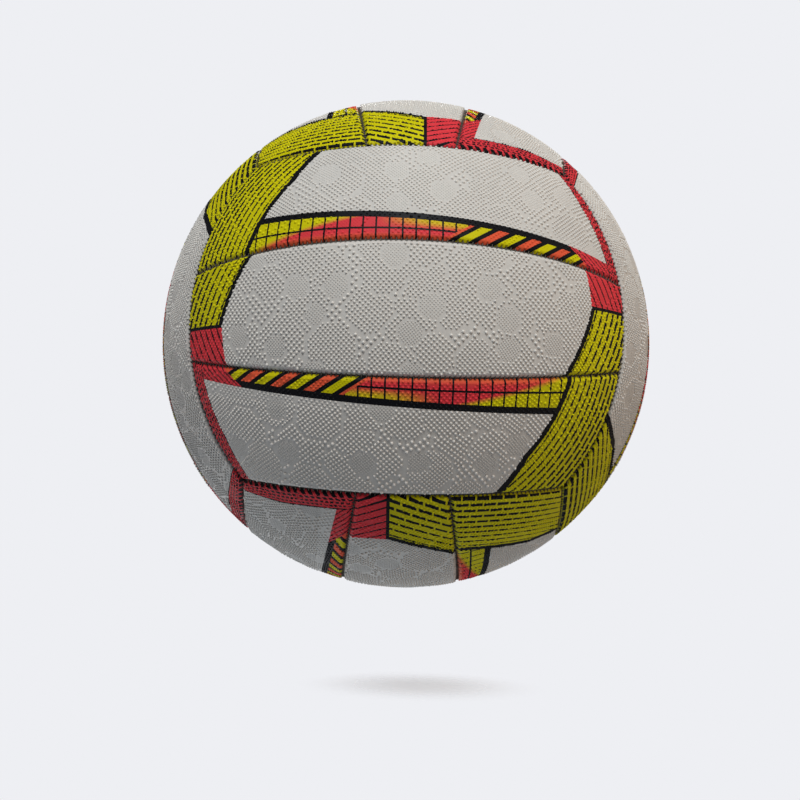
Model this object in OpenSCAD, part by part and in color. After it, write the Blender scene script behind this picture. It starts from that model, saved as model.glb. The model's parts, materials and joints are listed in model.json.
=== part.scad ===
// A stitched netball: eighteen cover panels with their linings, sewn over an air bladder.
// Its six faces lie as on a cube, each of three strips side by side, and the strips of a face
// run square to those of the faces that meet their ends.
// Lengths are in millimetres, and the origin is the ball's centre.

/* [Ball] */
// Circumference of the inflated ball
circumference = 700; // [680:1:720]
// How far the middle of a face's long side bows out past the line between its corners
side_bow = 3.9; // [2.7:0.1:5.7]
// Width of a middle strip halfway along it
strip_w = 51; // [46:0.5:56]
// Width of a middle strip at its two ends
strip_end_w = 35.4; // [32:0.2:40]

/* [Cover panels] */
// Thickness of a cover panel
cover_t = 1.6; // [1.4:0.1:1.8]
// Depth of a panel's turned-in edge, from the ball's surface
turn_depth = 4.4; // [4.2:0.1:5]
// Thickness of a panel's turned-in edge
turn_t = 1.1; // [0.9:0.1:1.4]
// Depth of the groove along a seam
groove_depth = 1.4; // [1.3:0.1:1.5]
// Distance from a seam at which a panel's edge starts to round over
round_w = 2; // [1.8:0.1:2.2]
// Radius of a panel's rounded edge
round_r = 2.9; // [2.9:0.1:3.6]

/* [Linings] */
// Thickness of the fabric lining behind a panel
lining_t = 1.2; // [0.9:0.1:1.4]
// Glue line between two pieces that are bonded together
glue_gap = 0.1; // [0.05:0.05:0.15]
// Gap between a lining's edge and the turned-in edge beside it
lining_edge_gap = 0.3; // [0.2:0.1:0.6]

/* [Seam thread] */
// Diameter of the waxed thread in the seams
thread_d = 0.8; // [0.6:0.05:0.9]
// Clearance around the thread
thread_gap = 0.05; // [0.03:0.01:0.1]
// Distance short of a corner or a crossing seam at which a thread stops
thread_stop = 1.2; // [1:0.1:2]

/* [Bladder] */
// Thickness of the bladder's wall
bladder_t = 1.2; // [0.9:0.1:1.6]
// Gap between the bladder and the seams' turned-in edges
bladder_gap = 0.3; // [0.2:0.05:0.4]

/* [Valve] */
// Diameter of the passage for an inflating needle
needle_d = 2.2; // [2:0.1:2.6]
// Depth of the dished mouth that guides the needle in
mouth_depth = 0.8; // [0.5:0.1:1]
// Diameter of the valve plug's head
plug_head_d = 7; // [6.6:0.1:7.4]
// Thickness of the valve plug's head
plug_head_t = 1.8; // [1.4:0.1:2.2]
// Diameter of the valve plug's body
plug_d = 5; // [4.6:0.1:5.4]
// Length of the valve plug with its head
plug_len = 17; // [16:0.5:19]
// Clearance between the plug and the valve boot
plug_gap = 0.05; // [0.03:0.01:0.1]
// Diameter of the valve boot's collar in the cover
collar_d = 9.4; // [9:0.1:10]
// Gap around the collar in the cover and its lining
collar_gap = 0.3; // [0.2:0.1:0.5]
// Depth of the collar's top below the ball's surface
collar_depth = 0.8; // [0.5:0.1:1.2]
// Diameter of the boot's flange between lining and bladder
flange_d = 27; // [22:0.5:32]
// Diameter of the boot's stem inside the bladder
stem_d = 11; // [10.4:0.1:12]
// Length of the boot, from the collar's top to the stem's end
boot_len = 15; // [13:0.5:15.5]
// Chamfer around the ends of the boot and the plug
valve_chamfer = 0.5; // [0.3:0.1:0.7]

/* [Hidden] */
// A face has its name, the turn that takes the top face to it, and its strips' names, first
// the one that lies at the right on the top face.
FACES = [
    ["top", [0, 0, 0], ["right", "middle", "left"]],
    ["bottom", [180, 0, 0], ["right", "middle", "left"]],
    ["front", [90, 90, 0], ["lower", "middle", "upper"]],
    ["back", [-90, 90, 0], ["lower", "middle", "upper"]],
    ["right", [90, 0, 90], ["back", "middle", "front"]],
    ["left", [90, 0, -90], ["front", "middle", "back"]]
];
// Turn about the face's centre that takes the strip modelled for it to each strip
STRIP_TURNS = [0, 0, 180];
// Face whose middle strip holds the valve
VALVE_FACE = 3;

function strip_node(kind, face, strip) = str(kind, "_", FACES[face][0], "_", FACES[face][2][strip]);
function thread_node(face) = str("thread_", FACES[face][0]);
function is_middle(strip) = strip == 1;
function holds_valve(face, strip) = face == VALVE_FACE && is_middle(strip);

$fn = 96;
COVER = [0.8, 0.79, 0.77];
FABRIC = [0.9, 0.86, 0.74];
THREAD = [0.93, 0.92, 0.88];
BUTYL = [0.13, 0.13, 0.14];
PLUG = [0.3, 0.3, 0.31];

ball_r = circumference / (2 * PI);
// Reach of the blocks that cut the ball into panels, and a radius well inside every layer
cut_r = ball_r * 1.2;
core_r = ball_r * 0.88;
// How far a cut runs past the face that it leaves
lap = 0.5;
// Facets round the thread and its channel
THREAD_FACETS = 32;

// How far a corner of a face lies along X, Y and Z
corner = ball_r / sqrt(3);
// Width of a face across the middle of its three strips
face_w = 2 * (corner + side_bow);
// A seam is a circle about an axis through the ball's centre. The axis of a face's long side
// tips down by edge_tilt, so that the circle passes the side's middle and both its corners.
// edge_polar is the angle from the axis to the circle, and edge_reach the half angle of arc.
edge_rise = sqrt(pow(ball_r, 2) - pow(face_w / 2, 2));
edge_tilt = atan2(face_w / 2 - corner, edge_rise - corner);
edge_polar = acos(corner * (cos(edge_tilt) - sin(edge_tilt)) / ball_r);
edge_reach = asin(corner / (ball_r * sin(edge_polar)));

// The seam beside a middle strip has that strip's half width at its middle and at its ends,
// where it runs into the long side of the next face.
strip_rise = sqrt(pow(ball_r, 2) - pow(strip_w / 2, 2));
end_r = sqrt(pow(ball_r, 2) - pow(strip_end_w / 2, 2));
end_turn = acos(ball_r * cos(edge_polar) / end_r) - edge_tilt;
strip_tilt = atan2((strip_w - strip_end_w) / 2, strip_rise - end_r * cos(end_turn));
strip_polar = acos((strip_w / 2 * cos(strip_tilt) - strip_rise * sin(strip_tilt)) / ball_r);
strip_reach = asin(end_r * sin(end_turn) / (ball_r * sin(strip_polar)));

// Radii of the layers, from the cover inwards
cover_in_r = ball_r - cover_t;
turn_in_r = ball_r - turn_depth;
thread_r = ball_r - groove_depth;
lining_out_r = cover_in_r - glue_gap;
lining_in_r = lining_out_r - lining_t;
bladder_r = turn_in_r - bladder_gap;
flange_out_r = lining_in_r - glue_gap;
flange_in_r = bladder_r + glue_gap;

// Heights along the valve's axis
boot_top = ball_r - collar_depth;
boot_end = boot_top - boot_len;
plug_end = boot_top - plug_len;
mouth_r = needle_d / 2 + mouth_depth;

// Centre of a rounded edge: its distance from the seam, and its depth
round_chord = sqrt(pow(round_w, 2) + pow(groove_depth, 2));
round_in = sqrt(pow(round_r, 2) - pow(round_chord / 2, 2));
round_x = round_w / 2 + round_in * groove_depth / round_chord;
round_y = groove_depth / 2 + round_in * round_w / round_chord;

// A point on the half plane that turns about a seam's axis: t out from the ball's centre
// towards the seam, and x across the seam, away from the axis
function beside(polar, t, x) = [
    t * sin(polar) + x * cos(polar),
    t * cos(polar) - x * sin(polar)
];

// Height along a seam's axis of the wall that the two turned-in edges share there: a plane
// through the bottom of the seam's groove
function wall_h(polar) = thread_r * cos(polar);

// Frames with Z along a seam's axis, for the top face's long sides, for the seams beside its
// middle strip, and for its ends
module long_side(side) {
    rotate([0, side * (90 + edge_tilt), 0])
        children();
}

module strip_side(side) {
    rotate([0, side * (90 + strip_tilt), 0])
        children();
}

module strip_end(side) {
    rotate([side * edge_tilt, 0, 0])
        children();
}

// From the top face's right or middle strip to the place of any strip
module strip_place(face, strip) {
    rotate(FACES[face][1])
        rotate([0, 0, STRIP_TURNS[strip]])
            children();
}

// What lies nearer to a seam's axis than its wall does, less an inset
module within(polar, inset) {
    translate([-cut_r, -cut_r, wall_h(polar) + inset])
        cube(2 * cut_r);
}

// What lies farther from a seam's axis than its wall does, less an inset
module without(polar, inset) {
    translate([-cut_r, -cut_r, wall_h(polar) - inset - 2 * cut_r])
        cube(2 * cut_r);
}

// What lies under a strip of the top face, less an inset all round: its middle strip, or the
// outer strip at its right
module strip_of(middle, inset) {
    if (middle)
        intersection() {
            children();
            strip_end(1) within(edge_polar, inset);
            strip_end(-1) within(edge_polar, inset);
            strip_side(1) without(strip_polar, inset);
            strip_side(-1) without(strip_polar, inset);
        }
    else
        intersection() {
            children();
            strip_end(1) within(edge_polar, inset);
            strip_end(-1) within(edge_polar, inset);
            long_side(1) without(edge_polar, inset);
            strip_side(1) within(strip_polar, inset);
        }
}

// A hollow ball, turned so that its poles lie away from the top face
module shell(out_r, in_r) {
    rotate([0, 90, 0])
        difference() {
            sphere(out_r);
            sphere(in_r);
        }
}

// What a seam takes away from the panels beside it: the groove between their rounded edges,
// and the channel at its bottom in which the thread lies
module seam_cut(polar) {
    rotate_extrude()
        difference() {
            polygon([
                beside(polar, thread_r - lap, 0),
                beside(polar, ball_r - lap, round_x),
                beside(polar, ball_r + lap, round_x),
                beside(polar, ball_r + lap, -round_x),
                beside(polar, ball_r - lap, -round_x)
            ]);
            for (x = [-round_x, round_x])
                translate(beside(polar, ball_r - round_y, x))
                    circle(round_r);
        }
    rotate_extrude()
        translate(beside(polar, thread_r, 0))
            circle(d = thread_d + 2 * thread_gap, $fn = THREAD_FACETS);
}

// A child with one seam of the top face cut into it: at an end of the strips, along a long
// side, or beside the middle strip
module cut_end(end) {
    difference() {
        children();
        strip_end(end) seam_cut(edge_polar);
    }
}

module cut_long_side(side) {
    difference() {
        children();
        long_side(side) seam_cut(edge_polar);
    }
}

module cut_strip_side(side) {
    difference() {
        children();
        strip_side(side) seam_cut(strip_polar);
    }
}

// A child with all the seams round a strip cut into it, one after another
module cut_seams(middle) {
    if (middle)
        cut_strip_side(1) cut_strip_side(-1) cut_end(1) cut_end(-1) children();
    else
        cut_strip_side(1) cut_long_side(1) cut_end(1) cut_end(-1) children();
}

// The round hole that the valve boot's collar passes
module collar_hole() {
    translate([0, 0, core_r])
        cylinder(h = ball_r - core_r + lap, d = collar_d + 2 * collar_gap);
}

// The blank of a cover panel: a curved skin whose edges turn in all round, so that each lies
// face to face against its neighbour's
module panel_blank(middle) {
    difference() {
        strip_of(middle, 0)
            shell(ball_r, turn_in_r);
        strip_of(middle, turn_t)
            shell(cover_in_r, core_r);
    }
}

// A cover panel, its edges rounded into the seams
module panel(face, strip) {
    color(COVER)
        strip_place(face, strip)
            difference() {
                cut_seams(is_middle(strip))
                    panel_blank(is_middle(strip));
                if (holds_valve(face, strip))
                    collar_hole();
            }
}

// The fabric lining glued behind a panel, between its turned-in edges
module lining(face, strip) {
    color(FABRIC)
        strip_place(face, strip)
            difference() {
                strip_of(is_middle(strip), turn_t + lining_edge_gap)
                    shell(lining_out_r, lining_in_r);
                if (holds_valve(face, strip))
                    collar_hole();
            }
}

// The stretch of thread along one seam of the top face, in the seam's frame
module thread_run(side, polar, reach) {
    run = reach - thread_stop / (thread_r * sin(polar)) * 180 / PI;
    rotate([0, 0, 90 + side * 90 - run])
        rotate_extrude(angle = 2 * run)
            translate(beside(polar, thread_r, 0))
                circle(d = thread_d, $fn = THREAD_FACETS);
}

// The threads of one face: its two long sides, and the two seams beside its middle strip
module thread(face) {
    color(THREAD)
        rotate(FACES[face][1])
            for (side = [-1, 1]) {
                long_side(side) thread_run(side, edge_polar, edge_reach);
                strip_side(side) thread_run(side, strip_polar, strip_reach);
            }
}

// The bladder, blown up against the ridges of turned-in edges, with a hole for the boot's stem
module bladder() {
    color(BUTYL)
        difference() {
            sphere(bladder_r);
            sphere(bladder_r - bladder_t);
            rotate(FACES[VALVE_FACE][1])
                translate([0, 0, boot_end])
                    cylinder(h = boot_len, d = stem_d + 2 * glue_gap);
        }
}

// The boot that carries the plug: a collar in the cover, a flange bonded to the bladder, and
// a stem that stands into the bladder
module valve_boot() {
    flange_z = (flange_out_r + flange_in_r) / 2;
    color(BUTYL)
        rotate(FACES[VALVE_FACE][1])
            difference() {
                union() {
                    rotate_extrude()
                        polygon([
                            [0, boot_end],
                            [stem_d / 2 - valve_chamfer, boot_end],
                            [stem_d / 2, boot_end + valve_chamfer],
                            [stem_d / 2, flange_z],
                            [collar_d / 2, flange_z],
                            [collar_d / 2, boot_top - valve_chamfer],
                            [collar_d / 2 - valve_chamfer, boot_top],
                            [0, boot_top]
                        ]);
                    intersection() {
                        difference() {
                            sphere(flange_out_r);
                            sphere(flange_in_r);
                        }
                        translate([0, 0, core_r])
                            cylinder(h = ball_r - core_r, d = flange_d);
                    }
                }
                rotate_extrude()
                    polygon([
                        [0, boot_end - lap],
                        [plug_d / 2 + plug_gap, boot_end - lap],
                        [plug_d / 2 + plug_gap, boot_top - plug_head_t - plug_gap],
                        [plug_head_d / 2 + plug_gap, boot_top - plug_head_t - plug_gap],
                        [plug_head_d / 2 + plug_gap, boot_top + lap],
                        [0, boot_top + lap]
                    ]);
            }
}

// The plug that seals round the needle: a head with a dished mouth, and a body through the boot
module valve_plug() {
    color(PLUG)
        rotate(FACES[VALVE_FACE][1])
            rotate_extrude()
                polygon([
                    [needle_d / 2, plug_end],
                    [plug_d / 2 - valve_chamfer, plug_end],
                    [plug_d / 2, plug_end + valve_chamfer],
                    [plug_d / 2, boot_top - plug_head_t],
                    [plug_head_d / 2, boot_top - plug_head_t],
                    [plug_head_d / 2, boot_top],
                    [mouth_r, boot_top],
                    [needle_d / 2, boot_top - mouth_depth]
                ]);
}

for (face = [0:5], strip = [0:2]) {
    panel(face, strip);
    lining(face, strip);
}
for (face = [0:5])
    thread(face);
bladder();
valve_boot();
valve_plug();
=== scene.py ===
"""Looks of a stitched netball: a pimpled rubber cover of eighteen printed strips, sewn seams and a
needle valve. The ball's frame has its origin at the ball's centre and +Z up. Sizes are in
millimetres where nothing else is said, and the meshes are in metres."""

import json
import math
import random

import bpy
import numpy as np
from mathutils import Matrix, Vector

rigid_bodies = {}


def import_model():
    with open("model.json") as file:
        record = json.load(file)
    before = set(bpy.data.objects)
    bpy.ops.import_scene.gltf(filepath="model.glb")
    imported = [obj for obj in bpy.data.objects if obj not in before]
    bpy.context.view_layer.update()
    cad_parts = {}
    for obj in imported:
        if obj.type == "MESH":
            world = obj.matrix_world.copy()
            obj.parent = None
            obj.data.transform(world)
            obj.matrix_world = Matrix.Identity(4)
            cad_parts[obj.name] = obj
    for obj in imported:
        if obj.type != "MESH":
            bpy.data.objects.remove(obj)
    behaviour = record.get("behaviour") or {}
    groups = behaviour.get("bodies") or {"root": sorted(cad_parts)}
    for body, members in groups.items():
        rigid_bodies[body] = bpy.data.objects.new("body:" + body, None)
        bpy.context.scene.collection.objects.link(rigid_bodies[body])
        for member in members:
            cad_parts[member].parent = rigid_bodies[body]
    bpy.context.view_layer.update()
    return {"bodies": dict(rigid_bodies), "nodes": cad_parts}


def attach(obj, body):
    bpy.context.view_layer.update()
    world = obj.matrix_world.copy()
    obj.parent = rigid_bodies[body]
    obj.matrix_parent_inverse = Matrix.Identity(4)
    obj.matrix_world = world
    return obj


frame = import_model()
nodes = frame["nodes"]
BODY = list(frame["bodies"])[0]

# The ball's own sizes and seams

# As in the part's source: the ball's radius, the bow of a face's long sides, a middle strip's width
# at its middle and at its ends, and the width and radius of the rounding along each edge.
MM = 0.001
BALL_R = 700 / (2 * math.pi)
SIDE_BOW = 3.9
STRIP_W = 51.0
STRIP_END_W = 35.4
ROUND_W = 2.0
ROUND_R = 2.9

# Each face has the turn in degrees that takes the top face to it, and its strips' names.
FACES = {
    "top": ((0, 0, 0), ("right", "middle", "left")),
    "bottom": ((180, 0, 0), ("right", "middle", "left")),
    "front": ((90, 90, 0), ("lower", "middle", "upper")),
    "back": ((-90, 90, 0), ("lower", "middle", "upper")),
    "right": ((90, 0, 90), ("back", "middle", "front")),
    "left": ((90, 0, -90), ("front", "middle", "back")),
}

# The seams are circles about axes through the ball's centre, as in the part's own construction.
# Each axis is tilted, each circle lies at a polar angle from it, and each seam has a reach along
# its circle.
corner = BALL_R / math.sqrt(3)
face_w = 2 * (corner + SIDE_BOW)
edge_rise = math.sqrt(BALL_R**2 - (face_w / 2) ** 2)
edge_tilt = math.atan2(face_w / 2 - corner, edge_rise - corner)
edge_polar = math.acos(corner * (math.cos(edge_tilt) - math.sin(edge_tilt)) / BALL_R)
edge_reach = math.asin(corner / (BALL_R * math.sin(edge_polar)))
strip_rise = math.sqrt(BALL_R**2 - (STRIP_W / 2) ** 2)
end_r = math.sqrt(BALL_R**2 - (STRIP_END_W / 2) ** 2)
end_turn = math.acos(BALL_R * math.cos(edge_polar) / end_r) - edge_tilt
strip_tilt = math.atan2((STRIP_W - STRIP_END_W) / 2, strip_rise - end_r * math.cos(end_turn))
strip_polar = math.acos(
    (STRIP_W / 2 * math.cos(strip_tilt) - strip_rise * math.sin(strip_tilt)) / BALL_R)
strip_reach = math.asin(end_r * math.sin(end_turn) / (BALL_R * math.sin(strip_polar)))


def side_axis(side, tilt):
    """Axis of a seam that runs along the top face's strips, at the right for side 1."""
    return Vector((side * math.cos(tilt), 0, -math.sin(tilt)))


def end_axis(end):
    """Axis of the seam across the top face's strips' ends, at +Y for end 1."""
    return Vector((0, -end * math.sin(edge_tilt), math.cos(edge_tilt)))


LONG_AXIS = side_axis(1, edge_tilt)
STRIP_AXIS = side_axis(1, strip_tilt)
FAR_STRIP_AXIS = side_axis(-1, strip_tilt)
ALONG_STRIP = Vector((0, 1, 0))
ALONG_END = Vector((1, 0, 0))


def face_turn(face, strip):
    """Turn from the top face's right or middle strip to a strip of any face."""
    x, y, z = (math.radians(a) for a in FACES[face][0])
    turn = Matrix.Rotation(z, 3, "Z") @ Matrix.Rotation(y, 3, "Y") @ Matrix.Rotation(x, 3, "X")
    return turn @ Matrix.Rotation(math.pi, 3, "Z") if strip == 2 else turn


# Camera

# The camera's distance in radii of the ball, its turn in degrees, and the ball's radius and centre
# in a picture this many pixels wide.
CAMERA_DISTANCE = 4.1
CAMERA_TURN = (-6.97, 0.115, -1.465)
OUTLINE_PX = 242.6
CENTRE_PX = (406.0, 343.8)
FRAME_PX = 800
SENSOR = 36.0


def add_camera():
    """The camera that sees the ball as in the photograph, from a little under its middle."""
    x, y, z = (math.radians(a) for a in CAMERA_TURN)
    turn = Matrix.Rotation(z, 3, "Z") @ Matrix.Rotation(x, 3, "X") @ Matrix.Rotation(y, 3, "Y")
    right, up, back = (Vector((v.x, -v.z, v.y)) for v in turn)
    data = bpy.data.cameras.new("camera")
    data.sensor_width = SENSOR
    data.lens = OUTLINE_PX * math.sqrt(CAMERA_DISTANCE**2 - 1) * SENSOR / FRAME_PX
    data.shift_x = (FRAME_PX / 2 - CENTRE_PX[0]) / FRAME_PX
    data.shift_y = (CENTRE_PX[1] - FRAME_PX / 2) / FRAME_PX
    camera = bpy.data.objects.new("camera", data)
    bpy.context.scene.collection.objects.link(camera)
    camera.matrix_world = Matrix.Translation(back * CAMERA_DISTANCE * BALL_R * MM) @ Matrix(
        (right, up, back)).transposed().to_4x4()
    bpy.context.scene.camera = camera


add_camera()

# Wiring of shader nodes


class Wiring:
    """Adds nodes to one node tree. Each input is a socket or a plain value."""

    def __init__(self, tree):
        self.tree = tree

    def node(self, kind, **settings):
        made = self.tree.nodes.new(kind)
        for name, value in settings.items():
            setattr(made, name, value)
        return made

    def feed(self, socket, value):
        if isinstance(value, bpy.types.NodeSocket):
            self.tree.links.new(value, socket)
        else:
            socket.default_value = value

    def fill(self, made, slots, values):
        for slot, value in zip(slots, values):
            self.feed(made.inputs[slot], value)

    def math(self, operation, *values):
        made = self.node("ShaderNodeMath", operation=operation)
        self.fill(made, range(len(values)), values)
        return made.outputs[0]

    def vector(self, operation, *values):
        made = self.node("ShaderNodeVectorMath", operation=operation)
        self.fill(made, range(len(values)), values)
        number = operation in ("DOT_PRODUCT", "LENGTH")
        return made.outputs["Value" if number else "Vector"]

    def scale(self, vector, factor):
        made = self.node("ShaderNodeVectorMath", operation="SCALE")
        self.fill(made, (0, "Scale"), (vector, factor))
        return made.outputs["Vector"]

    def parts(self, vector):
        """X, Y and Z of a vector."""
        made = self.node("ShaderNodeSeparateXYZ")
        self.feed(made.inputs[0], vector)
        return made.outputs

    def ramp(self, value, low, high, to_low=0.0, to_high=1.0, smooth=False):
        """A value's place between two bounds, as a place between two others."""
        kind = "SMOOTHSTEP" if smooth else "LINEAR"
        made = self.node("ShaderNodeMapRange", interpolation_type=kind)
        self.fill(made, range(5), (value, low, high, to_low, to_high))
        return made.outputs[0]

    def mix(self, factor, first, second):
        """The first colour where the factor is 0 and the second where it is 1."""
        made = self.node("ShaderNodeMix", data_type="RGBA")
        self.fill(made, (0, 6, 7), (factor, first, second))
        return made.outputs[2]

    def blend(self, factor, first, second):
        """The first number where the factor is 0 and the second where it is 1."""
        made = self.node("ShaderNodeMix", data_type="FLOAT")
        self.fill(made, (0, 2, 3), (factor, first, second))
        return made.outputs[0]

    def above(self, value, bound):
        return self.math("GREATER_THAN", value, bound)

    def below(self, value, bound):
        return self.math("LESS_THAN", value, bound)

    def outside(self, mask):
        return self.math("SUBTRACT", 1.0, mask)

    def both(self, *masks):
        """The product of masks or shades."""
        made = masks[0]
        for mask in masks[1:]:
            made = self.math("MULTIPLY", made, mask)
        return made

    def either(self, *masks):
        made = masks[0]
        for mask in masks[1:]:
            made = self.math("MAXIMUM", made, mask)
        return made

    def noise(self, vector, scale, detail=2.0, roughness=0.5):
        made = self.node("ShaderNodeTexNoise")
        self.fill(made, ("Vector", "Scale", "Detail", "Roughness"),
                  (vector, scale, detail, roughness))
        return made.outputs[0]

    def group(self, tree, **inputs):
        made = self.node("ShaderNodeGroup", node_tree=tree)
        self.fill(made, inputs.keys(), inputs.values())
        return made.outputs


def new_group(name, inputs, outputs):
    """A shader group: its wiring, its inputs as sockets to read, and its outputs to feed."""
    tree = bpy.data.node_groups.new(name, "ShaderNodeTree")
    for label, kind in inputs.items():
        tree.interface.new_socket(label, in_out="INPUT", socket_type="NodeSocket" + kind)
    for label, kind in outputs.items():
        tree.interface.new_socket(label, in_out="OUTPUT", socket_type="NodeSocket" + kind)
    wires = Wiring(tree)
    return tree, wires, wires.node("NodeGroupInput").outputs, wires.node("NodeGroupOutput").inputs


# Backdrop and light

HAZE = (0.855, 0.863, 0.896, 1)
# Each soft light all around: its direction, the cosines where it starts and is full, its colour.
SKY = (
    ((0, 0, -1), 0.4, 0.9, (0.29, 0.375, 0.46)),
    ((1, 0, 0), 0.3, 1.0, (0.68, 0.53, 0.41)),
    ((-1, 0, 0), 0.5, 1.0, (0.24, 0.225, 0.245)),
    ((-0.6, 0.6, -0.53), 0.7, 1.0, (1.4, 1.4, 1.4)),
)
SKY_LEAST = (0.01, 0.01, 0.01)
# Each lamp: its name, its place and diameter in metres, its power in watts and its colour.
LAMPS = (
    ("softbox", (0, -0.775, 1.342), 0.66, 2.75, (0.44, 0.78, 1.0)),
    ("front_softbox", (0, -1.057, 1.134), 0.77, 16.5, (1.0, 1.0, 1.0)),
    ("back_softbox", (0, 1.27, 0.89), 0.66, 11.8, (1.0, 0.98, 0.96)),
)
# The floor's size in metres, its cells, how many radii it lies under the ball's centre, and its
# colour. The shadow's place and half sizes on it in metres, the share of them that is darkest, and
# how dark it is there.
FLOOR_SIZE = 3
FLOOR_CELLS = 8
FLOOR_DROP = 1.363
FLOOR_COLOUR = (0.86, 0.86, 0.87, 1)
SHADOW_PLACE = (0.0103, -0.0197)
SHADOW_REACH = (0.056, 0.030)
SHADOW_CORE = 0.1
SHADOW_DEPTH = 0.5


def light_world():
    """Soft light from below, from both sides and from behind at the left. The camera sees haze."""
    world = bpy.data.worlds.new("studio")
    bpy.context.scene.world = world
    world.use_nodes = True
    world.node_tree.nodes.clear()
    wires = Wiring(world.node_tree)
    ray = wires.node("ShaderNodeTexCoord").outputs["Generated"]
    light = SKY_LEAST
    for way, low, high, colour in SKY:
        near = wires.ramp(wires.vector("DOT_PRODUCT", ray, way), low, high, smooth=True)
        light = wires.vector("ADD", light, wires.scale(colour, near))
    sky = wires.node("ShaderNodeBackground")
    wires.feed(sky.inputs["Color"], light)
    haze = wires.node("ShaderNodeBackground")
    wires.feed(haze.inputs["Color"], HAZE)
    path = wires.node("ShaderNodeLightPath").outputs
    plain = wires.either(path["Is Camera Ray"], path["Is Transmission Ray"])
    choice = wires.node("ShaderNodeMixShader")
    wires.fill(choice, range(3), (plain, sky.outputs[0], haze.outputs[0]))
    wires.feed(wires.node("ShaderNodeOutputWorld").inputs[0], choice.outputs[0])


def add_lamp(name, place, size, power, colour):
    """A round soft lamp that faces the ball."""
    data = bpy.data.lights.new(name, "AREA")
    data.shape = "DISK"
    data.size = size
    data.energy = power
    data.color = colour
    lamp = bpy.data.objects.new(name, data)
    bpy.context.scene.collection.objects.link(lamp)
    lamp.location = place
    lamp.rotation_mode = "QUATERNION"
    lamp.rotation_quaternion = Vector(place).to_track_quat("Z", "Y")


def add_floor():
    """A pale floor under the ball, of which only the shadow shows. The rest of it is clear."""
    bpy.ops.mesh.primitive_grid_add(x_subdivisions=FLOOR_CELLS, y_subdivisions=FLOOR_CELLS,
                                    size=FLOOR_SIZE, location=(0, 0, -FLOOR_DROP * BALL_R * MM))
    floor = bpy.context.object
    floor.name = "floor"
    material = bpy.data.materials.new("floor")
    material.use_nodes = True
    material.node_tree.nodes.clear()
    wires = Wiring(material.node_tree)
    place = wires.node("ShaderNodeTexCoord").outputs["Object"]
    middle = wires.vector("SUBTRACT", place, (*SHADOW_PLACE, 0))
    middle = wires.vector("DIVIDE", middle, (*SHADOW_REACH, 1))
    clearness = wires.ramp(wires.vector("LENGTH", middle), SHADOW_CORE, 1.0, 1 - SHADOW_DEPTH, 1.0,
                           smooth=True)
    pale = wires.node("ShaderNodeBsdfDiffuse")
    wires.feed(pale.inputs["Color"], FLOOR_COLOUR)
    clear = wires.node("ShaderNodeBsdfTransparent")
    path = wires.node("ShaderNodeLightPath").outputs
    unseen = wires.outside(path["Is Camera Ray"])
    back = wires.node("ShaderNodeNewGeometry").outputs["Backfacing"]
    choice = wires.node("ShaderNodeMixShader")
    wires.fill(choice, range(3), (wires.either(clearness, unseen, back), pale.outputs[0],
                                  clear.outputs[0]))
    wires.feed(wires.node("ShaderNodeOutputMaterial").inputs[0], choice.outputs[0])
    floor.data.materials.append(material)


light_world()
for lamp in LAMPS:
    add_lamp(*lamp)
add_floor()

# Shader groups of the print


def seam_group():
    """Distance out from a seam's circle, and distance along it, of a place on the unit ball."""
    tree, w, given, out = new_group(
        "seam", {"Place": "Vector", "Axis": "Vector", "Side": "Vector", "Polar": "Float"},
        {"Distance": "Float", "Along": "Float"})
    angle = w.math("ARCCOSINE", w.vector("DOT_PRODUCT", given["Place"], given["Axis"]))
    w.feed(out["Distance"], w.math("MULTIPLY", w.math("SUBTRACT", angle, given["Polar"]), BALL_R))
    up = w.vector("CROSS_PRODUCT", given["Axis"], given["Side"])
    turned = w.math("ARCTAN2", w.vector("DOT_PRODUCT", given["Place"], given["Side"]),
                    w.vector("DOT_PRODUCT", given["Place"], up))
    w.feed(out["Along"], w.math("MULTIPLY", w.math("MULTIPLY", turned, BALL_R),
                                w.math("SINE", given["Polar"])))
    return tree


SEAM_GROUP = seam_group()


def seam(wires, place, axis, side, polar, sign):
    """Distance from a seam, which is positive inside the strip, and distance along it."""
    found = wires.group(SEAM_GROUP, Place=place, Axis=axis, Side=side, Polar=polar)
    return wires.math("MULTIPLY", found["Distance"], sign), found["Along"]


def nearest(wires, seams):
    """The least of several distances from seams, and the distance along that seam."""
    best, along = seams[0]
    for distance, run in seams[1:]:
        closer = wires.below(distance, best)
        along = wires.blend(closer, along, run)
        best = wires.math("MINIMUM", best, distance)
    return best, along


def rule_lines(wires, across, pitch, thick):
    """Ruled lines at a pitch, and each line's number."""
    turn = wires.math("DIVIDE", across, pitch)
    off = wires.math("ABSOLUTE", wires.math("SUBTRACT", wires.math("FRACT", turn), 0.5))
    line = wires.below(wires.math("MULTIPLY", off, pitch), wires.math("DIVIDE", thick, 2.0))
    return line, wires.math("FLOOR", turn)


# Each row's shift from the one before, as a share of its dashes' period
ROW_OFFSET = 0.37


def dash_lines(wires, across, along, pitch, thick, dash, fill):
    """Ruled lines broken into dashes, each row set off from the one before."""
    line, row = rule_lines(wires, across, pitch, thick)
    offset = wires.math("MULTIPLY", row, ROW_OFFSET)
    place = wires.math("ADD", wires.math("DIVIDE", along, dash), offset)
    return wires.both(line, wires.below(wires.math("FRACT", place), fill))


def hem_dashes(wires, up, centre, half, along, period, fill):
    """A row of dashes along a hem, at a share of its width."""
    row = wires.below(wires.math("ABSOLUTE", wires.math("SUBTRACT", up, centre)), half)
    place = wires.math("FRACT", wires.math("DIVIDE", along, period))
    return wires.both(row, wires.below(place, fill))


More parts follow.
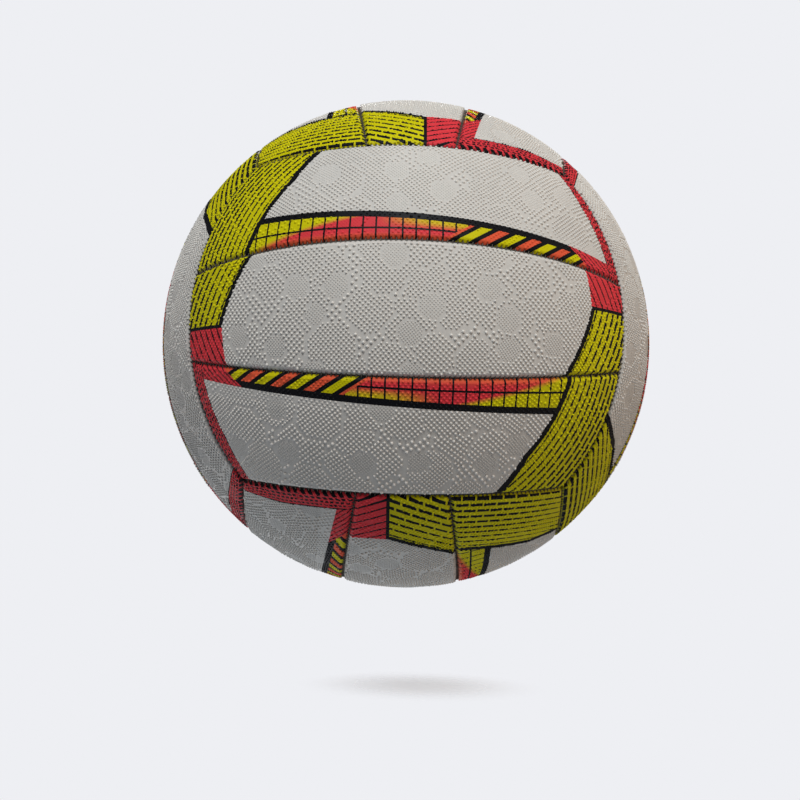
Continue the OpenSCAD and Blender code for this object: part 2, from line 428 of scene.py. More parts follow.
# The cover's white and its inks, and the widths of the print's outlines and ruled lines
WHITE = (0.70, 0.665, 0.615, 1)
YELLOW = (0.71, 0.64, 0.003, 1)
RED = (0.81, 0.052, 0.066, 1)
CORAL = (0.86, 0.12, 0.05, 1)
ORANGE = (0.86, 0.26, 0.02, 1)
BLACK = (0.008, 0.008, 0.010, 1)
OUTLINE = 2.3
LINE_W = 0.7
PRINT_IN = {"Place": "Vector"}
PRINT_OUT = {"Color": "Color", "Ink": "Float", "Edge": "Float", "Along": "Float"}


def yellow_block(wires, dashes, depth, width):
    """Yellow with black dashes, and a black outline at the depth of its width."""
    outline = wires.above(depth, wires.math("SUBTRACT", width, OUTLINE))
    return wires.mix(outline, wires.mix(dashes, YELLOW, BLACK), BLACK)


def put_out(wires, out, colour, ink, seams):
    """Feeds a print's outputs: its colour, where there is ink, and the nearest seam."""
    edge, along = nearest(wires, seams)
    for label, value in (("Color", colour), ("Ink", ink), ("Edge", edge), ("Along", along)):
        wires.feed(out[label], value)


# Sizes of an outer strip's print. A lean is the shift along a line for each millimetre across it.
# The band's width changes along it. Its red pales to orange at the seam, glows yellow towards the
# bars, and turns yellow at the far end. The places of these are shares of its width, or lengths
# from the strip's middle, and its skew is the shift over the whole width.
BAND_W, BAND_GAIN, BAND_OUTLINE = 11.0, 0.055, 2.6
ROW_LINE_HALF, COLUMN_PITCH = 0.4, 4.95
ORANGE_UP, ORANGE_MOST = 0.35, 0.4
GLOW_UP, GLOW_ALONG, GLOW_MOST = (0.5, 0.95), (-10.0, 14.0), 0.85
YELLOW_SKEW, YELLOW_ALONG = 41.0, (59.0, 67.0)
BAR_LEAN, BAR_PITCH, BAR_W, BARS_START = 1.5, 7.6, 4.7, -12.0
BLOCK_LEAN, BLOCK_PITCH, BLOCK_W = -1.1, 3.1, 21.5
# The hem's width at the strip's outer side and this far in from it. Each of its rows of dashes: its
# place and half width as shares of the hem's, whether it leans, its period and its dashes' share.
HEM_RUN, HEM_W = 20.0, (5.2, 8.4)
HEM_LEAN, HEM_OUTLINE = -0.7, 0.93
HEM_ROWS = (
    (0.14, 0.13, True, 3.2, 0.62),
    (0.40, 0.068, True, 2.6, 0.66),
    (0.60, 0.056, False, 2.2, 0.64),
    (0.79, 0.046, True, 2.0, 0.66),
)
# The yellow block's width in the same way, its rows' pitch, the first and last row's thickness, how
# deep the last lies, and its dashes' period and share. Then how much the first row thins out
# towards the ball's corner on some faces, and where.
YELLOW_RUN, YELLOW_W = 17.0, (27.5, 32.5)
DASH_PITCH, DASH_THICK, DASH_DEPTH, DASH_PERIOD, DASH_SHARE = 3.05, (1.6, 0.6), 32.0, 5.8, 0.88
THINNER, THINNER_RUN = 0.9, (4.0, 30.0)


def outer_band(w, d_strip, a_strip):
    """The band beside the middle strip: two rows of squares, then slanted bars, and an outline.
    Gives where it lies and its colour."""
    band_w = w.math("MULTIPLY_ADD", a_strip, BAND_GAIN, BAND_W)
    rows_w = w.math("SUBTRACT", band_w, BAND_OUTLINE)
    up_band = w.math("DIVIDE", d_strip, rows_w)
    from_middle = w.math("MULTIPLY", w.math("SUBTRACT", up_band, 0.5), rows_w)
    row_line = w.below(w.math("ABSOLUTE", from_middle), ROW_LINE_HALF)
    column_line, _ = rule_lines(w, a_strip, COLUMN_PITCH, LINE_W)
    band = w.mix(w.ramp(up_band, 0.0, ORANGE_UP, ORANGE_MOST, 0.0, smooth=True), RED, ORANGE)
    glow = w.both(w.ramp(up_band, *GLOW_UP, smooth=True),
                  w.ramp(a_strip, *GLOW_ALONG, GLOW_MOST, 0.0, smooth=True))
    band = w.mix(glow, band, YELLOW)
    turn_yellow = w.ramp(w.math("MULTIPLY_ADD", up_band, YELLOW_SKEW, a_strip), *YELLOW_ALONG)
    band = w.mix(turn_yellow, band, YELLOW)
    band = w.mix(w.either(row_line, column_line), band, BLACK)
    slant = w.math("MULTIPLY_ADD", d_strip, BAR_LEAN, a_strip)
    bar_line, bar_number = rule_lines(w, slant, BAR_PITCH, BAR_W)
    bar = w.mix(w.math("ABSOLUTE", w.math("MODULO", bar_number, 2.0)), CORAL, YELLOW)
    band = w.mix(w.below(slant, BARS_START), band, w.mix(bar_line, BLACK, bar))
    return w.below(d_strip, band_w), w.mix(w.below(d_strip, rows_w), BLACK, band)


def outer_block(w, d_strip, d_red):
    """The ruled red block that ends the band: where it lies along the band, and its colour."""
    edge = w.math("MULTIPLY_ADD", d_strip, BLOCK_LEAN, d_red)
    line, _ = rule_lines(w, edge, BLOCK_PITCH, LINE_W)
    return w.below(edge, BLOCK_W), w.mix(line, RED, BLACK)


def outer_hem(w, d_long, d_red, a_red):
    """The red hem with its rows of dashes and its outline: where it lies, and its colour."""
    width = w.ramp(d_long, 0.0, HEM_RUN, *HEM_W)
    up_hem = w.math("DIVIDE", d_red, width)
    lean = w.math("MULTIPLY_ADD", d_red, HEM_LEAN, a_red)
    rows = [hem_dashes(w, up_hem, centre, half, lean if leans else a_red, period, share)
            for centre, half, leans, period, share in HEM_ROWS]
    ink = w.either(*rows, w.above(up_hem, HEM_OUTLINE))
    return w.below(up_hem, 1.0), w.mix(ink, RED, BLACK)


def outer_yellow(w, d_long, d_yellow, a_yellow, ball_corner):
    """The yellow block at a strip's end: where it lies, and its colour."""
    width = w.ramp(d_long, 0.0, YELLOW_RUN, *YELLOW_W)
    first, last = DASH_THICK
    thinner = w.both(ball_corner, w.ramp(d_long, *THINNER_RUN, THINNER, 0.0))
    thick = w.ramp(d_yellow, 0.0, DASH_DEPTH, w.math("SUBTRACT", first, thinner), last)
    dashes = dash_lines(w, d_yellow, a_yellow, DASH_PITCH, thick, DASH_PERIOD, DASH_SHARE)
    return w.below(d_yellow, width), yellow_block(w, dashes, d_yellow, width)


def outer_print():
    """Print of an outer strip: a yellow block at one end, a ruled band beside the middle strip, and
    a narrow red hem at the other end."""
    tree, w, given, out = new_group("outer_print", {**PRINT_IN, "Corner": "Float"}, PRINT_OUT)
    place = given["Place"]
    yellow_half = w.above(w.parts(place)["Y"], 0.0)
    red_half = w.outside(yellow_half)
    d_strip, a_strip = seam(w, place, STRIP_AXIS, ALONG_STRIP, strip_polar, -1)
    d_long, a_long = seam(w, place, LONG_AXIS, ALONG_STRIP, edge_polar, 1)
    d_yellow, a_yellow = seam(w, place, end_axis(1), ALONG_END, edge_polar, -1)
    d_red, a_red = seam(w, place, end_axis(-1), -ALONG_END, edge_polar, -1)

    in_band, band = outer_band(w, d_strip, a_strip)
    colour = w.mix(in_band, WHITE, band)
    in_block, block = outer_block(w, d_strip, d_red)
    colour = w.mix(w.both(in_band, in_block, red_half), colour, block)
    in_hem, hem = outer_hem(w, d_long, d_red, a_red)
    in_hem = w.both(in_hem, red_half)
    colour = w.mix(in_hem, colour, hem)
    in_yellow, yellow = outer_yellow(w, d_long, d_yellow, a_yellow, given["Corner"])
    in_yellow = w.both(in_yellow, yellow_half)
    colour = w.mix(in_yellow, colour, yellow)

    put_out(w, out, colour, w.either(in_band, in_hem, in_yellow),
            [(d_strip, a_strip), (d_long, a_long), (d_yellow, a_yellow), (d_red, a_red)])
    return tree


# Sizes of a middle strip's print: where its two blocks meet, half the line there, and their depth.
# The yellow block gets deeper away from that line, and both blocks' rows lean.
SPLIT, SPLIT_LINE_HALF = -5.4, 0.65
END_DEPTH, END_GAIN = 24.2, 0.4
END_DASH_LEAN, END_LINE_LEAN = -0.42, 0.45
END_DASH_PITCH, END_DASH_THICK, END_DASH_DEPTH = 3.8, (1.9, 0.62), 30.0
END_DASH_PERIOD, END_DASH_SHARE = 6.4, 0.87
END_LINE_PITCH, END_LINE_THICK, END_LINE_DEPTH = 3.75, (1.5, 0.75), 7.0


def middle_print():
    """Print of a middle strip: at both ends, a yellow block beside a red one."""
    tree, w, given, out = new_group("middle_print", PRINT_IN, PRINT_OUT)
    part = w.parts(given["Place"])
    over = w.math("MULTIPLY", part["X"], w.math("SIGN", part["Y"]))
    joined = w.node("ShaderNodeCombineXYZ")
    w.fill(joined, "XYZ", (over, w.math("ABSOLUTE", part["Y"]), part["Z"]))
    place = joined.outputs[0]
    d_end, a_end = seam(w, place, end_axis(1), ALONG_END, edge_polar, -1)
    d_side, a_side = seam(w, place, STRIP_AXIS, ALONG_STRIP, strip_polar, 1)
    d_far, a_far = seam(w, place, FAR_STRIP_AXIS, -ALONG_STRIP, strip_polar, 1)
    over = w.math("MULTIPLY_ADD", over, BALL_R, -SPLIT)
    is_yellow = w.above(over, 0.0)

    yellow_w = w.math("MULTIPLY_ADD", over, END_GAIN, END_DEPTH)
    row = w.math("MULTIPLY_ADD", over, END_DASH_LEAN, d_end)
    thick = w.ramp(d_end, 0.0, END_DASH_DEPTH, *END_DASH_THICK)
    dashes = dash_lines(w, row, a_end, END_DASH_PITCH, thick, END_DASH_PERIOD, END_DASH_SHARE)
    in_yellow = w.both(is_yellow, w.below(d_end, yellow_w))

    row = w.math("MULTIPLY_ADD", over, END_LINE_LEAN, d_end)
    thick = w.ramp(d_end, 0.0, END_LINE_DEPTH, *END_LINE_THICK)
    block_line, _ = rule_lines(w, row, END_LINE_PITCH, thick)
    in_block = w.below(d_end, END_DEPTH)
    colour = w.mix(w.both(in_block, w.outside(is_yellow)), WHITE, w.mix(block_line, RED, BLACK))
    colour = w.mix(in_yellow, colour, yellow_block(w, dashes, d_end, yellow_w))
    split_line = w.both(in_block, w.below(w.math("ABSOLUTE", over), SPLIT_LINE_HALF))
    colour = w.mix(split_line, colour, BLACK)

    put_out(w, out, colour, w.either(in_block, in_yellow),
            [(d_side, a_side), (d_far, a_far), (d_end, a_end)])
    return tree


OUTER_PRINT = outer_print()
MIDDLE_PRINT = middle_print()

# Shader groups of wear and weave, with painted shade and a painted highlight

# The stitches' spacing, the painted shade and the depth of the pits beside them, and the grain's
# height
STITCH = 1.9
PIT_PAINTED_SHADE = -0.36
PIT_DEPTH = -0.4
SPECK_HEIGHT = 0.03


def rubber_wear_and_painted_light():
    """Wear of rubber, with painted light: faint blotches and a fine grain, painted shade near the
    seams and in the pits where the stitches pull the edge in, and a painted highlight that makes
    the pimples paler on top."""
    tree, w, given, out = new_group(
        "rubber_wear_and_painted_light",
        {"Place": "Vector", "Color": "Color", "Ink": "Float", "Edge": "Float", "Along": "Float"},
        {"Color": "Color", "Roughness": "Float", "Height": "Float"})
    blotch = w.noise(given["Place"], 38.0, 3.0)
    speck = w.noise(given["Place"], 900.0, 2.0, 0.6)
    # Painted shade: the cover is darker near the seams, where their grooves lie.
    painted_seam_shade = w.ramp(given["Edge"], 0.2, 1.5, 0.84, 1.0, smooth=True)
    # The stitches pull pits into the edge as bumps, and the pits are also darker as painted shade.
    pull = w.math("COSINE", w.math("MULTIPLY", given["Along"], 2 * math.pi / STITCH))
    near = w.outside(w.ramp(given["Edge"], 0.4, 1.35, smooth=True))
    pit = w.both(w.ramp(pull, 0.0, -0.9, smooth=True), near)
    # The pimples' tops are painted paler by their rise over the ball, as a painted highlight.
    part = w.parts(given["Place"])
    square = 0.0
    for side in "ZYX":
        square = w.math("MULTIPLY_ADD", part[side], part[side], square)
    rise = w.math("SUBTRACT", w.math("SQRT", square), BALL_R * MM)
    shade = w.both(w.ramp(blotch, 0.3, 0.7, 0.94, 1.0), w.ramp(speck, 0.3, 0.7, 0.96, 1.03), painted_seam_shade,
                   w.math("MULTIPLY_ADD", pit, PIT_PAINTED_SHADE, 1.0),
                   w.ramp(rise, 0.1 * MM, 0.35 * MM, 0.985, 1.2))
    w.feed(out["Color"], w.scale(given["Color"], shade))
    rough = w.ramp(blotch, 0.25, 0.75, 0.5, 0.64)
    w.feed(out["Roughness"], w.math("MULTIPLY_ADD", given["Ink"], -0.06, rough))
    w.feed(out["Height"], w.math("MULTIPLY_ADD", speck, SPECK_HEIGHT,
                                 w.math("MULTIPLY", pit, PIT_DEPTH)))
    return tree


def cloth_weave():
    """Cloth: two sets of threads over and under each other, painted darker where they dip low, as
    painted shade.
    """
    tree, w, given, out = new_group("cloth", {"Place": "Vector", "Pitch": "Float"},
                                    {"Shade": "Float", "Height": "Float"})
    part = w.parts(w.scale(given["Place"], BALL_R))
    turns = [w.math("MULTIPLY", w.math("DIVIDE", part[side], given["Pitch"]), math.pi)
             for side in "XY"]
    waves = [w.math("SINE", turn) for turn in turns]
    warp, weft = (w.math("ABSOLUTE", wave) for wave in waves)
    over = w.above(w.math("MULTIPLY", *waves), 0.0)
    height = w.blend(over, warp, weft)
    fray = w.noise(given["Place"], 300.0, 3.0)
    w.feed(out["Height"], height)
    # Painted shade: the threads are darker where they dip low, times the fray's own blotches.
    w.feed(out["Shade"], w.both(w.ramp(height, 0.0, 0.8, 0.55, 1.0),
                                w.ramp(fray, 0.3, 0.7, 0.86, 1.05)))
    return tree


RUBBER_WEAR_AND_PAINTED_LIGHT = rubber_wear_and_painted_light()
CLOTH_WEAVE = cloth_weave()

# Materials

# The specular level of every material
SHINE = 0.1
# On these faces the yellow block's first row of dashes thins out towards the ball's corner.
THIN_ROW_FACES = ("top", "bottom")
CLOTH_COLOUR = (0.62, 0.58, 0.50)
CLOTH_PITCH = 0.7


def principled(name, roughness):
    """A new material with a Principled shader, as its wiring and its shader's inputs."""
    material = bpy.data.materials.new(name)
    material.use_nodes = True
    material.node_tree.nodes.clear()
    wires = Wiring(material.node_tree)
    shader = wires.node("ShaderNodeBsdfPrincipled")
    shader.inputs["Roughness"].default_value = roughness
    shader.inputs["Specular IOR Level"].default_value = SHINE
    wires.feed(wires.node("ShaderNodeOutputMaterial").inputs[0], shader.outputs[0])
    return material, wires, shader.inputs


def raise_bumps(wires, shader, height, strength=1.0):
    """Bumps of a height in millimetres."""
    bump = wires.node("ShaderNodeBump")
    bump.inputs["Strength"].default_value = strength
    bump.inputs["Distance"].default_value = MM
    wires.feed(bump.inputs["Height"], height)
    wires.feed(shader["Normal"], bump.outputs[0])


def turned_place(wires, where, face, strip):
    """Direction from the ball's centre, turned from a strip of any face to the top face's."""
    turn = wires.node("ShaderNodeMapping")
    wires.feed(turn.inputs["Vector"], where)
    turn.inputs["Rotation"].default_value = face_turn(face, strip).transposed().to_euler()
    return wires.vector("NORMALIZE", turn.outputs[0])


def cover_material(face, strip):
    """Printed rubber of one strip, its print laid out on the top face's strip and turned to it."""
    name = "cover_%s_%s" % (face, FACES[face][1][strip])
    material, wires, shader = principled(name, 0.5)
    where = wires.node("ShaderNodeTexCoord").outputs["Object"]
    place = turned_place(wires, where, face, strip)
    if strip == 1:
        ink = wires.group(MIDDLE_PRINT, Place=place)
    else:
        ink = wires.group(OUTER_PRINT, Place=place, Corner=float(face in THIN_ROW_FACES))
    rubber = wires.group(RUBBER_WEAR_AND_PAINTED_LIGHT, Place=where, Color=ink["Color"], Ink=ink["Ink"],
                         Edge=ink["Edge"], Along=ink["Along"])
    wires.feed(shader["Base Color"], rubber["Color"])
    wires.feed(shader["Roughness"], rubber["Roughness"])
    raise_bumps(wires, shader, rubber["Height"])
    return material


def lining_material(face):
    """Pale cloth, woven along and across the face's strips."""
    material, wires, shader = principled("lining_cloth_" + face, 0.9)
    where = wires.node("ShaderNodeTexCoord").outputs["Object"]
    cloth = wires.group(CLOTH_WEAVE, Place=turned_place(wires, where, face, 0), Pitch=CLOTH_PITCH)
    wires.feed(shader["Base Color"], wires.scale(CLOTH_COLOUR, cloth["Shade"]))
    raise_bumps(wires, shader, cloth["Height"], 0.3)
    return material


def plain_rubber(name, dark, pale, scale, roughness):
    """Unprinted rubber with blotches of bloom from one shade to another and a fine grain."""
    material, wires, shader = principled(name, roughness)
    where = wires.node("ShaderNodeTexCoord").outputs["Object"]
    bloom = wires.ramp(wires.noise(where, scale, 4.0, 0.6), 0.35, 0.7, smooth=True)
    wires.feed(shader["Base Color"], wires.mix(bloom, dark, pale))
    wires.feed(shader["Roughness"], wires.ramp(bloom, 0.0, 1.0, roughness, roughness + 0.15))
    raise_bumps(wires, shader, wires.noise(where, 1400.0, 3.0), 0.06)
    return material


def thread_material(name, colour):
    """Waxed twisted thread, darker where it has picked up dust."""
    material, wires, shader = principled(name, 0.7)
    where = wires.node("ShaderNodeTexCoord").outputs["Object"]
    dust = wires.ramp(wires.noise(where, 220.0, 3.0), 0.3, 0.7, 0.6, 1.0)
    strand = wires.noise(where, 2600.0, 2.0, 0.7)
    shade = wires.both(dust, wires.ramp(strand, 0.3, 0.7, 0.7, 1.1))
    wires.feed(shader["Base Color"], wires.scale(colour, shade))
    raise_bumps(wires, shader, strand, 0.1)
    return material


COVERS = {(face, strip): cover_material(face, strip) for face in FACES for strip in range(3)}
# The groove thread is darker than the stitches' thread, as painted shade where it lies in the
# seams' grooves.
GROOVE_THREAD = thread_material("groove_thread", (0.13, 0.115, 0.10))
STITCH_THREAD = thread_material("stitch_thread", (0.22, 0.195, 0.165))
# Unprinted rubber: its node, its finish, its darker and paler shade, its blotches' scale and its
# roughness.
FITTINGS = (
    ("bladder", "butyl", (0.012, 0.012, 0.013, 1), (0.06, 0.058, 0.055, 1), 60.0, 0.45),
    ("valve_boot", "boot_rubber", (0.03, 0.03, 0.032, 1), (0.09, 0.088, 0.085, 1), 160.0, 0.5),
    ("valve_plug", "plug_rubber", (0.02, 0.02, 0.021, 1), (0.055, 0.053, 0.05, 1), 220.0, 0.4),
)

# Pimples

# Half of the length and of the width in which patches are centred, and half the width of a grid.
STRIP_HALF_RUN = 100.0
STRIP_HALF_OVER = 28.0
GRID_HALF_OVER = 32
# Pimple kinds: pitch, radius and height
COARSE = (2.05, 0.72, 0.64)
MEDIUM = (1.50, 0.56, 0.54)
FINE = (0.97, 0.38, 0.42)
# Patches of a strip: kind, count, range of radius, range of the share of its kind's size, and the
# gap between two of them and the share of the radius by which they may overlap.
PATCHES = (
    (FINE, 21, (3.8, 4.6), (0.97, 1.05), 1.0, 0.0),
    (MEDIUM, 64, (7.5, 10.5), (0.86, 1.10), 0.0, 0.6),
)
MOST_TRIES = 1500
# The most that a patch's grid is turned away from 45 degrees, in radians
GRID_TURN = 0.1
# How far a patch's grid reaches past it and into the patches before it, in pitches, and the least
# distance between two patches' pimples, in sums of their radii.
REACH_OUT = 0.1
REACH_IN = 0.25
ROOM = 1.18
# Pimples keep clear of the seams and of the valve, and start a little under the surface.
EDGE_CLEAR = 1.25
VALVE_CLEAR = 7.2
VALVE_WAY = np.array((0.0, 1.0, 0.0))
SINK = 0.1
# Pimples are lower on the print, which reaches this far in: from a middle strip's ends, and from an
# outer strip's yellow end, its red end and its band's side.
PRINTED_SHARE = 0.6
MIDDLE_REACH = 25
OUTER_REACH = (31, 8, 12)
# A pimple's sides, and the shares of a dome's height and radius at its shoulder.
PIMPLE_SIDES = 6
DOME_SHOULDER = 0.74
DOME_NARROW = 0.68
# The first strip's random seed
FIRST_SEED = 200


def strip_point(run, over, strip):
    """Directions on the top face's strip from millimetres along and across it."""
    half_strip, half_face = math.asin(STRIP_W / 2 / BALL_R), math.asin(face_w / 2 / BALL_R)
    middle = 0.0 if strip == 1 else (half_strip + half_face) / 2
    lon, lat = run / BALL_R, over / BALL_R
    x, y, z = np.sin(lat), np.cos(lat) * np.sin(lon), np.cos(lat) * np.cos(lon)
    return np.stack([x * math.cos(middle) + z * math.sin(middle), y,
                     z * math.cos(middle) - x * math.sin(middle)], axis=-1)


def inside(points, axis, polar, sign):
    """Distances from a seam to points on the top face, positive inside the strip."""
    return sign * (np.arccos(points @ np.array(axis)) - polar) * BALL_R


def end_distances(points):
    """Distances from the seams at the strips' ends, +Y first, to points on the top face."""
    return [inside(points, end_axis(end), edge_polar, -1) for end in (1, -1)]


def edge_distance(points, strip):
    """Least distance from a strip's seams to points on the top face."""
    found = end_distances(points)
    if strip == 1:
        found += [inside(points, axis, strip_polar, 1) for axis in (STRIP_AXIS, FAR_STRIP_AXIS)]
    else:
        found.append(inside(points, STRIP_AXIS, strip_polar, -1))
        found.append(inside(points, LONG_AXIS, edge_polar, 1))
    return np.min(found, axis=0)


def printed(points, strip):
    """Which points on the top face's strip lie in its print."""
    yellow_end, red_end = end_distances(points)
    if strip == 1:
        return np.minimum(yellow_end, red_end) < MIDDLE_REACH
    side = inside(points, STRIP_AXIS, strip_polar, -1)
    reach = OUTER_REACH
    return (yellow_end < reach[0]) | (red_end < reach[1]) | (side < reach[2])


def lattice(centre, reach, pitch, turn):
    """Points of a square grid around a centre."""
    count = int(reach / pitch) + 2
    x, y = np.meshgrid(*2 * (np.arange(-count, count + 1) * pitch,))
    c, s = math.cos(turn), math.sin(turn)
    return np.stack([centre[0] + x * c - y * s, centre[1] + x * s + y * c], axis=-1).reshape(-1, 2)


def patch_layout(dice):
    """Round patches of a strip in the order in which they're laid, and the coarse grid around them,
    as centre, radius, kind and share of its size."""
    patches = []
    for kind, count, radii, shares, gap, overlap in PATCHES:
        tries = 0
        while count and tries < MOST_TRIES:
            tries += 1
            spot = np.array([dice.uniform(-STRIP_HALF_RUN, STRIP_HALF_RUN),
                             dice.uniform(-STRIP_HALF_OVER, STRIP_HALF_OVER)])
            size = dice.uniform(*radii)
            room = gap - overlap * size
            if any(np.hypot(*(spot - p[0])) < size + p[1] + room for p in patches if p[2] is kind):
                continue
            patches.append((spot, size, kind, dice.uniform(*shares)))
            count -= 1
    return patches + [(np.zeros(2), 2 * STRIP_HALF_RUN, COARSE, 1.0)]


def pimple_layout(strip, dice):
    """Pimples of a strip, patch by patch: kind, share of its size, places on the top face, heights.
    Each patch fills the room that those before it left."""
    patches = patch_layout(dice)
    found = []
    taken = np.zeros((0, 3))
    for order, (centre, size, kind, share) in enumerate(patches):
        pitch, radius, height = (measure * share for measure in kind)
        turn = math.pi / 4 + dice.uniform(-GRID_TURN, GRID_TURN)
        spots = lattice(centre, min(size, STRIP_HALF_RUN), pitch, turn)
        keep = np.hypot(*(spots - centre).T) < size + REACH_OUT * pitch
        keep &= np.abs(spots[:, 1]) < GRID_HALF_OVER
        for other in patches[:order]:
            keep &= np.hypot(*(spots - other[0]).T) > other[1] - REACH_IN * pitch
        spots = spots[keep]
        points = strip_point(*spots.T, strip)
        inward = edge_distance(points, strip)
        clear = inward > EDGE_CLEAR
        spots, points, inward = spots[clear], points[clear], inward[clear]
        apart = np.hypot(spots[:, :1] - taken[:, 0], spots[:, 1:] - taken[:, 1])
        free = (apart > ROOM * (radius + taken[:, 2])).all(axis=1)
        spots, points, inward = spots[free], points[free], inward[free]
        taken = np.concatenate([taken, np.column_stack([spots, np.full(len(spots), radius)])])
        drop = ROUND_R - np.sqrt(ROUND_R**2 - np.clip(ROUND_W - inward, 0, None) ** 2)
        rise = height * np.where(printed(points, strip), PRINTED_SHARE, 1.0)
        found.append((kind, share, points * (BALL_R - drop)[:, None], rise))
    return found


def take_shape(piece):
    """Ends the edit of a small shape and gives its points and triangles."""
    bpy.ops.mesh.select_all(action="SELECT")
    bpy.ops.mesh.normals_make_consistent(inside=False)
    bpy.ops.mesh.quads_convert_to_tris()
    bpy.ops.object.mode_set(mode="OBJECT")
    points = np.array([v.co for v in piece.data.vertices])
    faces = np.array([p.vertices for p in piece.data.polygons])
    bpy.data.objects.remove(piece)
    return points, faces


def in_order(faces):
    """Triangles in an order that is the same each run, each from its lowest corner number."""
    first = faces.argmin(axis=1)[:, None]
    faces = np.take_along_axis(faces, (first + np.arange(3)) % 3, axis=1)
    return faces[np.lexsort(faces.T[::-1])]


def model_pimple(shoulder):
    """One low dome of unit radius and height, or a cone where it has no shoulder, as points and
    triangles that face up."""
    bpy.ops.object.select_all(action="DESELECT")
    bpy.ops.mesh.primitive_circle_add(vertices=PIMPLE_SIDES, radius=1.0, fill_type="NOTHING",
                                      location=(0, 0, 0))
    dome = bpy.context.object
    bpy.ops.object.mode_set(mode="EDIT")
    bpy.ops.mesh.select_all(action="SELECT")
    if shoulder:
        bpy.ops.mesh.extrude_region_move(TRANSFORM_OT_translate={"value": (0, 0, shoulder)})
        bpy.ops.transform.resize(value=(DOME_NARROW, DOME_NARROW, 1))
    bpy.ops.mesh.extrude_region_move(TRANSFORM_OT_translate={"value": (0, 0, 1 - shoulder)})
    bpy.ops.mesh.merge(type="CENTER")
    points, faces = take_shape(dome)
    first, second = (points[faces[:, k]] - points[faces[:, 0]] for k in (1, 2))
    if (np.cross(first, second)[:, 2] < 0).any():
        faces = faces[:, ::-1]
    return points, in_order(faces)


def copies_mesh(name, groups):
    """A piece made of many copies of small shapes. Each group is points, copies by corners by 3,
    and the shape's triangles."""
    mesh = bpy.data.meshes.new(name)
    places, loops, start = [], [], 0
    for points, faces in groups:
        copies, corners = points.shape[:2]
        starts = start + np.arange(copies) * corners
        places.append(points.reshape(-1, 3))
        loops.append((faces[None] + starts[:, None, None]).reshape(-1))
        start += copies * corners
    places, loops = np.concatenate(places), np.concatenate(loops).astype(np.int32)
    mesh.vertices.add(len(places))
    mesh.vertices.foreach_set("co", (places * MM).reshape(-1).astype(np.float32))
    mesh.loops.add(len(loops))
    mesh.loops.foreach_set("vertex_index", loops)
    mesh.polygons.add(len(loops) // 3)
    mesh.polygons.foreach_set("loop_start", np.arange(0, len(loops), 3, dtype=np.int32))
    mesh.polygons.foreach_set("use_smooth", np.ones(len(loops) // 3, bool))
    mesh.update(calc_edges=True)
    mesh.validate()
    piece = bpy.data.objects.new(name, mesh)
    bpy.context.scene.collection.objects.link(piece)
    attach(piece, BODY)
    return piece


DOME = model_pimple(DOME_SHOULDER)
CONE = model_pimple(0)


def add_pimples(face, strip, number):
    """The pimples of one strip. Gives their triangles' count."""
    turn = np.array(face_turn(face, strip))
    groups = []
    for kind, share, places, rise in pimple_layout(strip, random.Random(FIRST_SEED + number)):
        shape, faces = CONE if kind is FINE else DOME
        places = places @ turn.T
        level = np.linalg.norm(places, axis=1)[:, None]
        out_way = places / level
        clear = out_way @ VALVE_WAY < math.cos(VALVE_CLEAR / BALL_R)
        out_way, level, rise = out_way[clear], level[clear][:, None], rise[clear][:, None, None]
        across = np.cross(out_way, np.roll(out_way, 1, axis=1))
        across /= np.linalg.norm(across, axis=1)[:, None]
        along = np.cross(out_way, across)
        x, y, z = (shape[None, :, i, None] for i in range(3))
        groups.append((out_way[:, None] * (level - SINK + z * (rise + SINK))
                       + (across[:, None] * x + along[:, None] * y) * kind[1] * share, faces))
    name = "pimples_%s_%s" % (face, FACES[face][1][strip])
    piece = copies_mesh(name, groups)
    piece.data.materials.append(COVERS[face, strip])
    return len(piece.data.polygons)


# Stitches

STITCH_R = 0.16
STITCH_SIDES = 5
STITCH_SLANT = 0.18
# Places of a stitch across its seam and their depths
STITCH_LINE = ((-0.75, 0.72), (-0.45, 0.62), (0, 0.74), (0.45, 0.62), (0.75, 0.72))


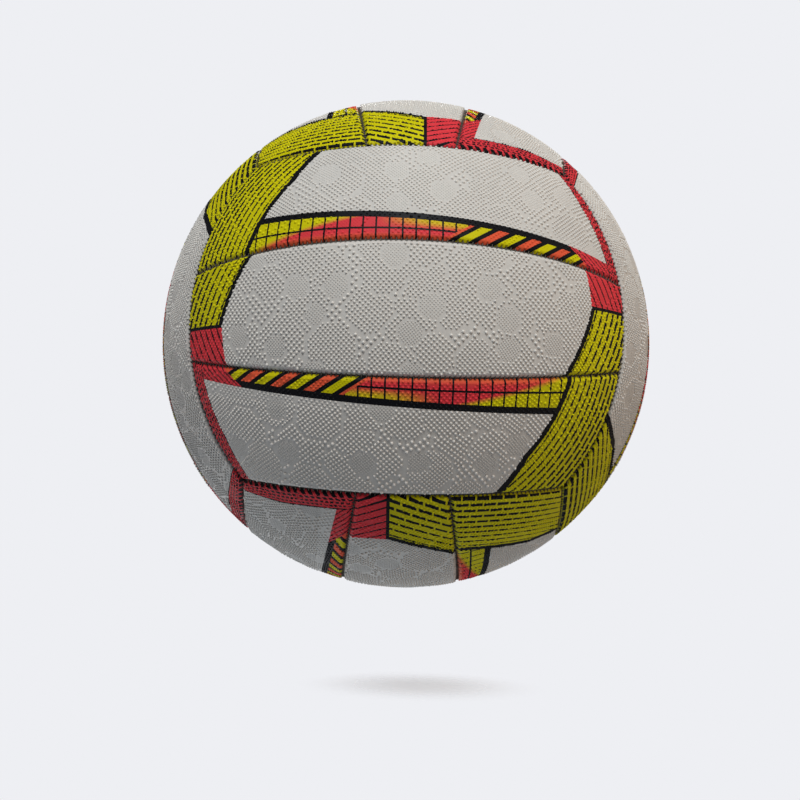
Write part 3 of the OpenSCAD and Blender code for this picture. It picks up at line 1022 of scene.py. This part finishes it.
def model_stitch():
    """One short stitch laid over a seam: a thread with closed ends, bent to its line."""
    bpy.ops.object.select_all(action="DESELECT")
    bpy.ops.mesh.primitive_circle_add(
        vertices=STITCH_SIDES, radius=STITCH_R, fill_type="NGON",
        location=(STITCH_LINE[0][0], 0, 0), rotation=(0, math.pi / 2, 0))
    thread = bpy.context.object
    bpy.ops.object.transform_apply(location=True, rotation=True, scale=True)
    bpy.ops.object.mode_set(mode="EDIT")
    bpy.ops.mesh.select_all(action="SELECT")
    for (start, _), (end, _) in zip(STITCH_LINE, STITCH_LINE[1:]):
        bpy.ops.mesh.extrude_region_move(TRANSFORM_OT_translate={"value": (end - start, 0, 0)})
    points, faces = take_shape(thread)
    line = np.array(STITCH_LINE)
    points[:, 2] -= np.interp(points[:, 0], line[:, 0], line[:, 1])
    points[:, 1] += STITCH_SLANT * points[:, 0]
    return points, in_order(faces)


STITCH_SHAPE, STITCH_FACES = model_stitch()
# The seams along a strip's side: tilt, polar angle and reach
SIDE_SEAMS = ((edge_tilt, edge_polar, edge_reach), (strip_tilt, strip_polar, strip_reach))


def add_stitches(face):
    """The stitches over the seams of one face's long sides and middle strip. Gives their triangles'
    count."""
    turn = np.array(face_turn(face, 0))
    copies = []
    for side in (1, -1):
        for tilt, polar, reach in SIDE_SEAMS:
            axis, run = np.array(side_axis(side, tilt)), np.array((0, side, 0))
            up = np.cross(axis, run)
            step = STITCH / (BALL_R * math.sin(polar))
            count = int(reach / step)
            turns = (np.arange(-count, count)[:, None] + 0.5) * step
            ray = run * np.sin(turns) + up * np.cos(turns)
            out_way = axis * math.cos(polar) + ray * math.sin(polar)
            across = ray * math.cos(polar) - axis * math.sin(polar)
            along = run * np.cos(turns) - up * np.sin(turns)
            x, y, z = (STITCH_SHAPE[None, :, i, None] for i in range(3))
            copies.append(out_way[:, None] * (BALL_R + z)
                          + across[:, None] * x + along[:, None] * y)
    piece = copies_mesh("stitches_" + face, [(np.concatenate(copies) @ turn.T, STITCH_FACES)])
    piece.data.materials.append(STITCH_THREAD)
    return len(piece.data.polygons)


# All pieces


def dress(node, material):
    """Gives a carried-over solid its material."""
    nodes[node].data.materials.clear()
    nodes[node].data.materials.append(material)


total = 0
for number, (face, strip) in enumerate(COVERS):
    dress("panel_%s_%s" % (face, FACES[face][1][strip]), COVERS[face, strip])
    total += add_pimples(face, strip, number)
for face in FACES:
    cloth = lining_material(face)
    for name in FACES[face][1]:
        dress("lining_%s_%s" % (face, name), cloth)
    dress("thread_" + face, GROOVE_THREAD)
    total += add_stitches(face)
for node, *rubber in FITTINGS:
    dress(node, plain_rubber(*rubber))
print("triangles added", total)

# Picture settings

bpy.context.scene.view_settings.view_transform = "Standard"
